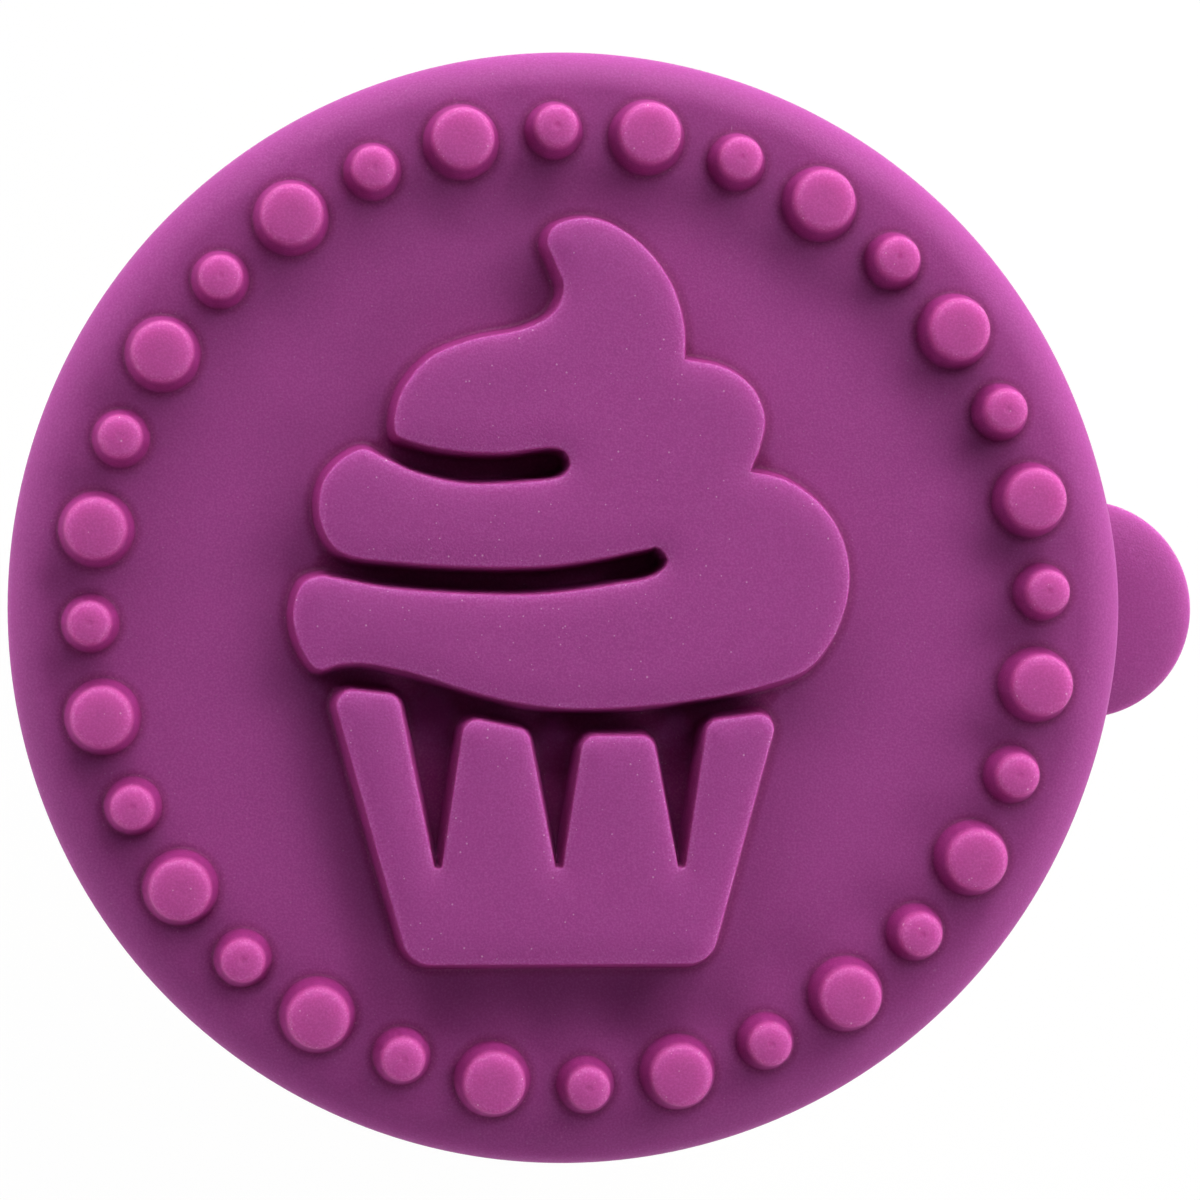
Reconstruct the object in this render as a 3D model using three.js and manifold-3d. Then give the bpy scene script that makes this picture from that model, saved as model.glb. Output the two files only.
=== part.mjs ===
// A cookie stamp: a soft moulded pad with a raised cupcake inside a ring of studs,
// pushed over the wooden head of a turned handle. Millimetres, +Z up.
// It stands on the flat end of its handle with the stamping face up, the pull tab on +X.
import * as THREE from "three";
import { mergeVertices } from "three/addons/utils/BufferGeometryUtils.js";
import Module from "manifold-3d";

const wasm = await Module();
wasm.setup();

// Clearance between pieces that slip over, pass through or seat on each other
const fitGap = 0.3;

// Stamp pad
const padDiameter = 65;
const padEdgeRound = 2.4; // rounding between the face and the outer wall
const padSkirtRound = 0.6; // rounding at the lower outer edge of the skirt
const faceThickness = 3.2; // from the ceiling of the recess to the face
const skirtDepth = 4.2; // how far the skirt hangs down around the head
const skirtWall = 3;

// Raised relief on the face
const reliefHeight = 3;
const reliefEdgeRound = 0.35;
const reliefRoot = 0.8; // how far the relief is rooted in the pad

// Ring of studs, large and small by turns
const studPairs = 16;
const studRingInset = 4.81; // from the pad's edge to the middle of the studs
const studRingTurn = THREE.MathUtils.degToRad(1.9); // the ring sits slightly turned to the tab
const largeStudTop = 3.5;
const largeStudFoot = 4.9;
const smallStudTop = 2.45;
const smallStudFoot = 3.8;

// Pull tab on the lower edge of the skirt
const tabReach = 5.45; // beyond the pad's edge
const tabRadius = 6.5; // of its round outline
const tabThickness = 1.8;
const tabEdgeRound = 0.5;

// Head of the handle, inside the pad
const headThickness = 6;
const headEdgeRound = 0.8;

// Turned handle
const handleHeight = 46;
const handleEndDiameter = 27;
const handleEndRound = 2.5;
const gripDiameter = 33;
const gripCentreHeight = 15;
const waistDiameter = 18;
const waistCentreHeight = 35;
const collarDiameter = 27;
const collarBand = 2.5; // straight band just under the head

// Countersunk screw that holds the head on the handle
const screwDiameter = 4;
const screwHeadDiameter = 8;
const screwHeadRim = 0.4; // straight rim above the countersink
const screwLength = 28;
const screwPoint = 4;
const screwSink = 0.3; // how far its head lies below the top of the wooden head
const driveWidth = 1.1;
const driveSpan = 4.4;
const driveDepth = 1.4;

// Height of the cupcake, from the foot of its cup to the peak of its frosting
const figureHeight = 42.95;

// Right-hand notches of the frosting and the run between them, drawn about the pad's centre
const upperNotch = [6.5, 14.35];
const lowerNotch = [10.3, 7.85];
const rightShoulder = [
  [10.85, 9.25],
  [11.15, 10.95],
  [10.5, 12.6],
  [8.95, 13.8],
];
// The rest of the frosting's outline, anticlockwise from the upper notch to the lower one
const peak = [
  [6.45, 16.3],
  [5.75, 18.65],
  [4.1, 20.85],
  [1.9, 22.25],
  [0.3, 22.45],
  [-1.1, 21.95],
  [-1.5, 21.1],
  [-1.05, 19.9],
  [-0.55, 18.4],
  [-1.15, 17],
  [-2.7, 16.1],
];
const topTier = [
  [-5.9, 15.4],
  [-8.3, 14.35],
  [-9.85, 12.5],
  [-10.3, 10.75],
  [-10.2, 9.95],
  [-9.8, 9.7],
];
const upperSlot = [
  [-7.5, 9.1],
  [-4.25, 8.9],
  [-1.15, 9.2],
  [-0.45, 8.95],
  [-0.15, 8.3],
  [-0.6, 7.6],
  [-3.15, 7.2],
  [-6.4, 7.15],
  [-9.2, 7.8],
  [-11.1, 8.7],
];
const middleTier = [
  [-12.1, 9.1],
  [-13.6, 8.3],
  [-14.5, 6.9],
  [-14.55, 5],
  [-13.8, 3.5],
  [-12.85, 2.95],
];
const lowerSlot = [
  [-10.3, 2.6],
  [-6.5, 2.35],
  [-2.05, 2.35],
  [0.9, 2.7],
  [4.2, 3.35],
  [4.9, 3.45],
  [5.5, 2.7],
  [4.85, 1.9],
  [2, 1.25],
  [-2.05, 0.75],
  [-6.5, 0.8],
  [-10.85, 1.15],
  [-13.8, 1.7],
];
const bottomTier = [
  [-14.6, 1.8],
  [-15.55, 1.4],
  [-16.1, -0.2],
  [-15.85, -1.85],
  [-15.05, -3.3],
  [-14.55, -3.58],
  [-13.5, -3.3],
];
const hem = [
  [-12.4, -3.2],
  [-9.75, -3.65],
  [-4.8, -5.15],
  [-1.5, -5.75],
  [2.5, -5.8],
  [7, -5.35],
  [10.85, -4.6],
  [13.65, -3.55],
];
const rightBulge = [
  [15.2, -1.65],
  [16.05, 1.1],
  [15.75, 3.8],
  [14.4, 5.95],
  [12.3, 7.4],
];

// Cup: a corner is x, y and its rounding, clockwise from the foot's left corner
const cupFootRound = 1.7;
const fingerRound = 0.75;
const notchRound = 0.12;
const cupCorners = [
  [-9.45, -20.57, cupFootRound],
  [-13.95, -4.62, fingerRound],
  [-10.05, -5.05, fingerRound],
  [-7.98, -15, notchRound],
  [-7.58, -15, notchRound],
  [-6.25, -6.3, fingerRound],
  [-2.55, -7.1, fingerRound],
  [-1, -15, notchRound],
  [-0.6, -15, notchRound],
  [0.6, -7.38, fingerRound],
  [4.65, -7.4, fingerRound],
  [6.1, -15, notchRound],
  [6.5, -15, notchRound],
  [7.8, -6.55, fingerRound],
  [12, -6, fingerRound],
  [8, -20.6, cupFootRound],
];

// Fineness of the facets
const turnSegments = 72;
const studSegments = 16;
const arcSteps = 3;
const outlineStep = 0.75; // along the frosting's outline
const swellStep = 2.5; // along the handle's swell

// Heights above the handle's end
const headBottom = handleHeight + fitGap;
const headTop = headBottom + headThickness;
const recessCeiling = headTop + fitGap;
const faceHeight = recessCeiling + faceThickness;
const skirtBottom = recessCeiling - skirtDepth;
const screwTop = headTop - screwSink;

// Widths that follow from the sizes above
const padRadius = padDiameter / 2;
const recessRadius = padRadius - skirtWall;
const headRadius = recessRadius - fitGap;
const screwRadius = screwDiameter / 2;
const screwHeadRadius = screwHeadDiameter / 2;
const screwHoleRadius = screwRadius + fitGap;
const screwConeHeight = screwHeadRadius - screwRadius;

const silicone = { color: 0x8a3878, roughness: 0.55, metalness: 0 };
const beech = { color: 0xc99a66, roughness: 0.6, metalness: 0 };
const steel = { color: 0xb8babd, roughness: 0.35, metalness: 1 };

const stamp = new THREE.Group();

function addPiece(name, geometry, finish) {
  const mesh = new THREE.Mesh(geometry, new THREE.MeshStandardMaterial(finish));
  mesh.name = name;
  stamp.add(mesh);
}

// Joining and cutting of closed shapes
function toSolid(geometry) {
  const bare = geometry.clone();
  bare.deleteAttribute("normal");
  bare.deleteAttribute("uv");
  const merged = mergeVertices(bare);
  const mesh = new wasm.Mesh({
    numProp: 3,
    vertProperties: merged.attributes.position.array,
    triVerts: new Uint32Array(merged.index.array),
  });
  return new wasm.Manifold(mesh);
}

function toGeometry(solid) {
  const mesh = solid.getMesh();
  const geometry = new THREE.BufferGeometry();
  geometry.setAttribute("position", new THREE.BufferAttribute(mesh.vertProperties, 3));
  geometry.setIndex(new THREE.BufferAttribute(mesh.triVerts, 1));
  geometry.computeVertexNormals();
  return geometry;
}

// A profile of [radius, height] pairs turned about the Z axis
function turn(profile, segments) {
  const points = profile.map(([radius, height]) => new THREE.Vector2(radius, height));
  return new THREE.LatheGeometry(points, segments).rotateX(Math.PI / 2);
}

// Quarter arc as [x, y] pairs from one angle to another, ends included
function arc(centreX, centreY, radius, fromAngle, toAngle) {
  const pairs = [];
  for (let i = 0; i <= arcSteps; i++) {
    const angle = fromAngle + ((toAngle - fromAngle) * i) / arcSteps;
    pairs.push([centreX + radius * Math.cos(angle), centreY + radius * Math.sin(angle)]);
  }
  return pairs;
}

// Smooth curve through [x, y] pairs, ends included
function smooth(pairs, step) {
  const points = pairs.map(([x, y]) => new THREE.Vector3(x, y, 0));
  const curve = new THREE.CatmullRomCurve3(points, false, "centripetal");
  const steps = Math.ceil(curve.getLength() / step);
  return curve.getSpacedPoints(steps).map((point) => [point.x, point.y]);
}

// Polygon of [x, y, rounding] corners as a shape with rounded corners
function roundedShape(corners) {
  const shape = new THREE.Shape();
  corners.forEach(([x, y, rounding], i) => {
    const corner = new THREE.Vector2(x, y);
    const before = new THREE.Vector2(...corners.at(i - 1));
    const after = new THREE.Vector2(...corners[(i + 1) % corners.length]);
    const toBefore = before.sub(corner).normalize();
    const toAfter = after.sub(corner).normalize();
    const halfAngle = Math.acos(toBefore.dot(toAfter)) / 2;
    const reach = rounding / Math.tan(halfAngle);
    const start = corner.clone().addScaledVector(toBefore, reach);
    const end = corner.clone().addScaledVector(toAfter, reach);
    if (i === 0) {
      shape.moveTo(start.x, start.y);
    } else {
      shape.lineTo(start.x, start.y);
    }
    shape.quadraticCurveTo(x, y, end.x, end.y);
  });
  return shape;
}

function frostingOutline() {
  const leftSide = [
    upperNotch,
    ...peak,
    ...topTier,
    ...upperSlot,
    ...middleTier,
    ...lowerSlot,
    ...bottomTier,
    ...hem,
    ...rightBulge,
    lowerNotch,
  ];
  const rightSide = [lowerNotch, ...rightShoulder, upperNotch];
  return [...smooth(leftSide, outlineStep).slice(0, -1), ...smooth(rightSide, outlineStep).slice(0, -1)];
}

// Raised block with a flat top and a rounded top edge, rooted in the pad
function reliefBlock(shape) {
  const geometry = new THREE.ExtrudeGeometry(shape, {
    depth: reliefHeight + reliefRoot - 2 * reliefEdgeRound,
    curveSegments: arcSteps,
    bevelThickness: reliefEdgeRound,
    bevelSize: reliefEdgeRound,
    bevelOffset: -reliefEdgeRound,
    bevelSegments: 2,
  });
  return geometry.translate(0, 0, faceHeight - reliefRoot + reliefEdgeRound);
}

function cupcakeBlocks() {
  const frosting = frostingOutline();
  const peakHeight = Math.max(...frosting.map(([, y]) => y));
  const footHeight = Math.min(...cupCorners.map(([, y]) => y));
  const scale = figureHeight / (peakHeight - footHeight);
  const frostingPoints = frosting.map(([x, y]) => new THREE.Vector2(x * scale, y * scale));
  const cup = cupCorners.map((corner) => corner.map((size) => size * scale));
  return [reliefBlock(new THREE.Shape(frostingPoints)), reliefBlock(roundedShape(cup))];
}

function stud(topDiameter, footDiameter) {
  const topRadius = topDiameter / 2;
  const footRadius = footDiameter / 2;
  const top = faceHeight + reliefHeight;
  const root = faceHeight - reliefRoot;
  const edge = arc(topRadius - reliefEdgeRound, top - reliefEdgeRound, reliefEdgeRound, 0, Math.PI / 2);
  return turn([[0, root], [footRadius, root], [footRadius, faceHeight], ...edge, [0, top]], studSegments);
}

function studRing() {
  const ringRadius = padRadius - studRingInset;
  const studs = [];
  for (let i = 0; i < 2 * studPairs; i++) {
    const angle = studRingTurn + (i * Math.PI) / studPairs;
    const isLarge = i % 2 === 1;
    const geometry = isLarge ? stud(largeStudTop, largeStudFoot) : stud(smallStudTop, smallStudFoot);
    studs.push(geometry.translate(ringRadius * Math.cos(angle), ringRadius * Math.sin(angle), 0));
  }
  return studs;
}

function padCap() {
  const lowerEdge = arc(
    padRadius - padSkirtRound, skirtBottom + padSkirtRound, padSkirtRound, -Math.PI / 2, 0);
  const faceEdge = arc(padRadius - padEdgeRound, faceHeight - padEdgeRound, padEdgeRound, 0, Math.PI / 2);
  const profile = [
    [0, recessCeiling],
    [recessRadius, recessCeiling],
    [recessRadius, skirtBottom],
    ...lowerEdge,
    ...faceEdge,
    [0, faceHeight],
  ];
  return turn(profile, turnSegments);
}

function stampPad() {
  let pad = toSolid(padCap());
  for (const raised of [...cupcakeBlocks(), ...studRing()]) {
    pad = pad.add(toSolid(raised));
  }
  return toGeometry(pad);
}

// Round plate with a half-round nose along its bending line, which lies beside the skirt's wall
function pullTab() {
  const halfThickness = tabThickness / 2;
  const bendLine = padRadius + fitGap + halfThickness;
  const tip = padRadius + tabReach;
  const middle = skirtBottom + halfThickness;
  const plate = new THREE.Shape().absarc(tip - tabRadius, 0, tabRadius, 0, 2 * Math.PI);
  const disc = new THREE.ExtrudeGeometry(plate, {
    depth: tabThickness - 2 * tabEdgeRound,
    curveSegments: turnSegments / 2,
    bevelThickness: tabEdgeRound,
    bevelSize: tabEdgeRound,
    bevelOffset: -tabEdgeRound,
    bevelSegments: 2,
  }).translate(0, 0, skirtBottom + tabEdgeRound);
  const side = new THREE.Shape();
  side.absarc(0, 0, halfThickness, Math.PI / 2, (3 * Math.PI) / 2);
  side.lineTo(tip, -halfThickness);
  side.lineTo(tip, halfThickness);
  const slab = new THREE.ExtrudeGeometry(side, {
    depth: 2 * tabRadius,
    curveSegments: 2 * arcSteps,
    bevelEnabled: false,
  });
  slab.rotateX(Math.PI / 2).translate(bendLine, tabRadius, middle);
  return toGeometry(toSolid(disc).intersect(toSolid(slab)));
}

function headDisc() {
  const lowerEdge = arc(
    headRadius - headEdgeRound, headBottom + headEdgeRound, headEdgeRound, -Math.PI / 2, 0);
  const upperEdge = arc(headRadius - headEdgeRound, headTop - headEdgeRound, headEdgeRound, 0, Math.PI / 2);
  const rimDepth = screwSink + screwHeadRim;
  const sinkRadius = screwHeadRadius + fitGap;
  const profile = [
    [screwHoleRadius, headBottom],
    ...lowerEdge,
    ...upperEdge,
    [sinkRadius, headTop],
    [sinkRadius, headTop - rimDepth - fitGap],
    [screwHoleRadius, headTop - rimDepth - fitGap - screwConeHeight],
    [screwHoleRadius, headBottom],
  ];
  return turn(profile, turnSegments);
}

function handleGrip() {
  const endRadius = handleEndDiameter / 2;
  const collarRadius = collarDiameter / 2;
  const pilotBottom = screwTop - screwLength - fitGap;
  const endEdge = arc(endRadius - handleEndRound, handleEndRound, handleEndRound, -Math.PI / 2, 0);
  const swell = smooth(
    [
      [endRadius, handleEndRound],
      [gripDiameter / 2, gripCentreHeight],
      [waistDiameter / 2, waistCentreHeight],
      [collarRadius, handleHeight - collarBand],
    ],
    swellStep,
  );
  const profile = [
    [0, 0],
    ...endEdge,
    ...swell.slice(1),
    [collarRadius, handleHeight],
    [screwHoleRadius, handleHeight],
    [screwHoleRadius, pilotBottom],
    [0, pilotBottom],
  ];
  return turn(profile, turnSegments / 2);
}

function handleScrew() {
  const coneBottom = screwTop - screwHeadRim - screwConeHeight;
  const profile = [
    [0, screwTop - screwLength],
    [screwRadius, screwTop - screwLength + screwPoint],
    [screwRadius, coneBottom],
    [screwHeadRadius, screwTop - screwHeadRim],
    [screwHeadRadius, screwTop],
    [0, screwTop],
  ];
  let screw = toSolid(turn(profile, turnSegments / 4));
  for (const [alongX, alongY] of [[driveSpan, driveWidth], [driveWidth, driveSpan]]) {
    const slot = new THREE.BoxGeometry(alongX, alongY, 2 * driveDepth).translate(0, 0, screwTop);
    screw = screw.subtract(toSolid(slot));
  }
  return toGeometry(screw);
}

addPiece("handle_grip", handleGrip(), beech);
addPiece("head_disc", headDisc(), beech);
addPiece("handle_screw", handleScrew(), steel);
addPiece("stamp_pad", stampPad(), silicone);
addPiece("pull_tab", pullTab(), silicone);

export default stamp;
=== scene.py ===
import math

import bmesh
import bpy
import numpy as np
from mathutils import Matrix, Vector
from mathutils.geometry import delaunay_2d_cdt


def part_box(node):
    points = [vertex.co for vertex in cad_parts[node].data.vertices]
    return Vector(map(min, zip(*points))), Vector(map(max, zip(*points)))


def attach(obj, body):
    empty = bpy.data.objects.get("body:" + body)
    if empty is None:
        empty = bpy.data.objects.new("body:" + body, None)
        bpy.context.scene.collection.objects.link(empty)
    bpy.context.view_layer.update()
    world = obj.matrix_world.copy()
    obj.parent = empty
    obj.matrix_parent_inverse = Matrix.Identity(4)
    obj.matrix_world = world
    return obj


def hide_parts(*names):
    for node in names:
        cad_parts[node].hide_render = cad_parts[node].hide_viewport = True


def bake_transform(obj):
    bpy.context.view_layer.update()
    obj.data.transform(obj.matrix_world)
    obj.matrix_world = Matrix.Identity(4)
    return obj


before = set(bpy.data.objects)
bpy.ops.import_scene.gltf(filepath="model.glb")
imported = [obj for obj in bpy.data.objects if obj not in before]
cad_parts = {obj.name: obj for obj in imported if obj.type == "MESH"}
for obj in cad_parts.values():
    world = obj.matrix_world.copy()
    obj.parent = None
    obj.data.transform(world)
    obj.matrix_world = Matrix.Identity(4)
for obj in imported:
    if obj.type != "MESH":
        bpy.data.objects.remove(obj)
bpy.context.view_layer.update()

mm = 0.001  # outlines and sizes are written in millimetres, Blender works in metres
print("stage: frame loaded")


# outlines, all flat and in millimetres

def evenSteps(points, step):
    run = np.concatenate([[0], np.cumsum(np.linalg.norm(np.diff(points, axis=0), axis=1))])
    at = np.linspace(0, run[-1], max(2, round(run[-1] / step) + 1))
    return np.column_stack([np.interp(at, run, points[:, k]) for k in (0, 1)])


def smoothRun(points, step):
    # centripetal spline through the points at an even step
    pts = np.array(points, float)
    full = np.vstack([2 * pts[0] - pts[1], pts, 2 * pts[-1] - pts[-2]])
    u = np.linspace(0, 1, 30, endpoint=False)[:, None]
    spans = []
    for i in range(len(pts) - 1):
        p0, p1, p2, p3 = full[i:i + 4]
        d0, d1, d2 = (math.sqrt(np.linalg.norm(b - a)) for a, b in ((p0, p1), (p1, p2), (p2, p3)))
        m1 = d1 * ((p1 - p0) / d0 - (p2 - p0) / (d0 + d1) + (p2 - p1) / d1)
        m2 = d1 * ((p2 - p1) / d1 - (p3 - p1) / (d1 + d2) + (p3 - p2) / d2)
        spans.append(p1 + m1 * u + (3 * (p2 - p1) - 2 * m1 - m2) * u**2 + (2 * (p1 - p2) + m1 + m2) * u**3)
    return evenSteps(np.vstack(spans + [pts[-1:]]), step)


def roundedPolygon(corners, step):
    # corners are x, y, rounding, and each rounding is a true arc
    out = []
    for i, (x, y, rounding) in enumerate(corners):
        corner = np.array([x, y])
        toPrev = np.array(corners[i - 1][:2]) - corner
        toNext = np.array(corners[(i + 1) % len(corners)][:2]) - corner
        toPrev /= np.linalg.norm(toPrev)
        toNext /= np.linalg.norm(toNext)
        half = math.acos(float(toPrev @ toNext)) / 2
        centre = corner + (toPrev + toNext) / np.linalg.norm(toPrev + toNext) * rounding / math.sin(half)
        start = corner + toPrev * rounding / math.tan(half) - centre
        end = corner + toNext * rounding / math.tan(half) - centre
        a0 = math.atan2(start[1], start[0])
        sweep = (math.atan2(end[1], end[0]) - a0 + math.pi) % (2 * math.pi) - math.pi
        arcSteps = max(5, round(abs(sweep) * rounding / step))
        out += [centre + rounding * np.array([math.cos(t), math.sin(t)])
                for t in np.linspace(a0, a0 + sweep, arcSteps + 1)]
    dense = []
    for a, b in zip(out, out[1:] + out[:1]):  # straight sides get points too
        parts = max(1, round(np.linalg.norm(b - a) / step))
        dense += [a + (b - a) * k / parts for k in range(parts)]
    return np.array(dense)


def counterClockwise(loop):
    x, y = loop.T
    return loop if np.sum(x * np.roll(y, -1) - y * np.roll(x, -1)) > 0 else loop[::-1]


def outwardNormals(loop):
    ahead = np.roll(loop, -1, axis=0) - loop
    behind = loop - np.roll(loop, 1, axis=0)
    along = ahead / np.linalg.norm(ahead, axis=1)[:, None] + behind / np.linalg.norm(behind, axis=1)[:, None]
    normals = np.column_stack([along[:, 1], -along[:, 0]])
    return normals / np.linalg.norm(normals, axis=1)[:, None]


def signedDistance(points, loop):
    # distance to a closed outline, negative inside
    ax, ay = loop.T
    bx, by = np.roll(loop, -1, axis=0).T
    dx, dy = bx - ax, by - ay
    lengths = dx**2 + dy**2
    slant = dx / np.where(dy == 0, 1e-12, dy)
    out = np.empty(len(points))
    for start in range(0, len(points), 1000):
        px = points[start:start + 1000, :1] - ax
        py = points[start:start + 1000, 1:] - ay
        share = np.clip((px * dx + py * dy) / lengths, 0, 1)
        near = np.sqrt(((px - share * dx)**2 + (py - share * dy)**2).min(1))
        crossed = ((py < 0) != (py < dy)) & (px < py * slant)
        out[start:start + 1000] = np.where(crossed.sum(1) % 2, -near, near)
    return out


# meshes

def newPiece(name, verts, faces, **pointValues):
    # closed smooth mesh from millimetre points, with values kept per point for its material
    mesh = bpy.data.meshes.new(name)
    mesh.from_pydata([tuple(v * mm) for v in np.asarray(verts, float)], [], faces)
    bm = bmesh.new()
    bm.from_mesh(mesh)
    bmesh.ops.recalc_face_normals(bm, faces=bm.faces)
    bm.to_mesh(mesh)
    bm.free()
    mesh.polygons.foreach_set("use_smooth", [True] * len(mesh.polygons))
    for key, values in pointValues.items():
        mesh.attributes.new(key, "FLOAT", "POINT").data.foreach_set("value", np.asarray(values, np.float32))
    piece = bpy.data.objects.new(name, mesh)
    bpy.context.scene.collection.objects.link(piece)
    return piece


def weighNormals(piece):
    # flat parts stay flat right up to their rounded edges
    modifier = piece.modifiers.new("weighed normals", "WEIGHTED_NORMAL")
    modifier.mode = "FACE_AREA"
    modifier.weight = 50


def weld(piece, gap):
    bm = bmesh.new()
    bm.from_mesh(piece.data)
    bmesh.ops.remove_doubles(bm, verts=bm.verts, dist=gap)
    bmesh.ops.dissolve_degenerate(bm, edges=bm.edges, dist=gap)
    bmesh.ops.recalc_face_normals(bm, faces=bm.faces)
    bm.to_mesh(piece.data)
    bm.free()


def turned(profile, segments, ringClosed=False):
    # radius and height pairs turned about the Z axis; a radius of 0 ends in a point
    verts, rings, faces = [], [], []
    for radius, z in profile:
        count = segments if radius > 0 else 1
        rings.append([len(verts) + i for i in range(count)])
        turns = [2 * math.pi * i / segments for i in range(count)]
        verts += [(radius * math.cos(t), radius * math.sin(t), z) for t in turns]
    for low, high in zip(rings, rings[1:] + rings[:1] if ringClosed else rings[1:]):
        for i in range(segments):
            j = (i + 1) % segments
            corners = [low[i % len(low)], low[j % len(low)], high[j % len(high)], high[i % len(high)]]
            faces.append(list(dict.fromkeys(corners)))
    return np.array(verts), faces


def arc(x, y, radius, fromDegrees, toDegrees, steps):
    turns = np.radians(np.linspace(fromDegrees, toDegrees, steps + 1))
    return [(x + radius * math.cos(t), y + radius * math.sin(t)) for t in turns]


# stamp pad: cupcake, ring of studs, round edge, skirt and recess

padSizes = {
    "edgeRound": 2.4,      # between face and wall
    "skirtRound": 0.6,
    "fitGap": 0.3,         # between the recess and the wooden head
    "reliefHeight": 3.0,
    # walls: rounding of the upper edge, lean in degrees, rounding at the foot, and before the edge
    # a shoulder as wide as this, over which the top bends down to this tilt
    "figureWall": {"top": 0.15, "lean": 7.5, "foot": 0.3, "shoulder": 1.9, "tilt": 12},
    "studWall": {"top": 0.4, "lean": 10.5, "foot": 0.2, "shoulder": 0.95, "tilt": 11},
    "studPairs": 16,
    "studRingInset": 4.81,
    "studRingTurn": 1.9,   # degrees
    "largeStud": 3.5,      # across the top
    "smallStud": 2.45,
    "dimple": 0.05,        # depth of the tiny mark in the middle of the small studs
    "dimpleRadius": 0.24,
    "figureScale": 0.9977,
    "tabSwell": 0.2,       # the edge stands a little prouder where the tab pulls on it
    "tabSwellAngle": 13,   # degrees
    "footShadeShare": 0.5,      # share of the dark colour at the foot of the walls: painted shade
    "footShadeReach": 0.35,     # how far that painted shade runs out on the face
    "slotWidth": 2.4,      # gaps narrower than this get the dark colour all through: painted shade
    "edgeInset": 0.15,     # middle of the pale line along the upper edges, dust and painted sheen, inside the outline
    "edgeWidth": 0.3,      # from its middle to its end
    "tabSwellDepth": 4,    # how far in from the rim the swell begins
    "recessChamfer": 0.3,
    "outlineStep": 0.2,
    "studSteps": 40,
    "rimSteps": 256,
    "fillStep": 1.3,       # spacing of points on the flat parts
    "fillGap": 0.35,       # from those points to the walls, to the figure's shoulders and to the edge
    "fillTopGap": 0.3,
    "fillRimGap": 0.9,
}

# frosting: its outline anticlockwise from the upper right-hand notch to the lower one
frostingLeft = [
    (6.5, 14.35), (6.45, 16.3), (5.75, 18.65), (4.1, 20.85), (1.9, 22.25), (0.3, 22.45),
    (-1.1, 21.95), (-1.5, 21.1), (-1.05, 19.9), (-0.55, 18.4), (-1.15, 17), (-2.7, 16.1),
    (-5.9, 15.4), (-8.3, 14.35), (-9.85, 12.5), (-10.3, 10.75), (-10.2, 9.95), (-9.8, 9.7),
    # upper slot, in and out
    (-7.5, 9.1), (-4.25, 8.9), (-1.15, 9.2), (-0.45, 8.95), (-0.15, 8.3), (-0.6, 7.6),
    (-3.15, 7.2), (-6.4, 7.15), (-9.2, 7.8), (-11.1, 8.7),
    # middle tier
    (-12.1, 9.1), (-13.6, 8.3), (-14.5, 6.9), (-14.55, 5), (-13.8, 3.5), (-12.85, 2.95),
    # lower slot, in and out
    (-10.3, 2.6), (-6.5, 2.35), (-2.05, 2.35), (0.9, 2.7), (4.2, 3.35), (4.9, 3.45),
    (5.5, 2.7), (4.85, 1.9), (2, 1.25), (-2.05, 0.75), (-6.5, 0.8), (-10.85, 1.15), (-13.8, 1.7),
    # bottom tier and hem
    (-14.6, 1.8), (-15.55, 1.4), (-16.1, -0.2), (-15.85, -1.85), (-15.05, -3.3), (-14.55, -3.58),
    (-13.5, -3.3), (-12.4, -3.2), (-9.75, -3.65), (-4.8, -5.15), (-1.5, -5.75), (2.5, -5.8),
    (7, -5.35), (10.85, -4.6), (13.65, -3.55),
    # right bulge
    (15.2, -1.65), (16.05, 1.1), (15.75, 3.8), (14.4, 5.95), (12.3, 7.4), (10.3, 7.85),
]
frostingRight = [(10.3, 7.85), (10.85, 9.25), (11.15, 10.95), (10.5, 12.6), (8.95, 13.8), (6.5, 14.35)]

# cup: corners as x, y, rounding
footRound, fingerRound, notchRound = 1.7, 0.9, 0.2
cupCorners = [
    (-9.45, -20.57, footRound), (-13.95, -4.62, fingerRound), (-10.05, -5.05, fingerRound),
    (-7.98, -15, notchRound), (-7.58, -15, notchRound), (-6.25, -6.3, fingerRound),
    (-2.55, -7.1, fingerRound), (-1, -15, notchRound), (-0.6, -15, notchRound),
    (0.6, -7.38, fingerRound), (4.65, -7.4, fingerRound), (6.1, -15, notchRound),
    (6.5, -15, notchRound), (7.8, -6.55, fingerRound), (12, -6, fingerRound), (8, -20.6, footRound),
]

# where the frame puts the pad
padLow, padHigh = (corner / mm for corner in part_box("stamp_pad"))
headLow, headHigh = (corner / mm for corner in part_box("head_disc"))
padRadius = padHigh.y
faceZ = padHigh.z - padSizes["reliefHeight"]
recessRadius = headHigh.x + padSizes["fitGap"]
ceilingZ = headHigh.z + padSizes["fitGap"]


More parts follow.
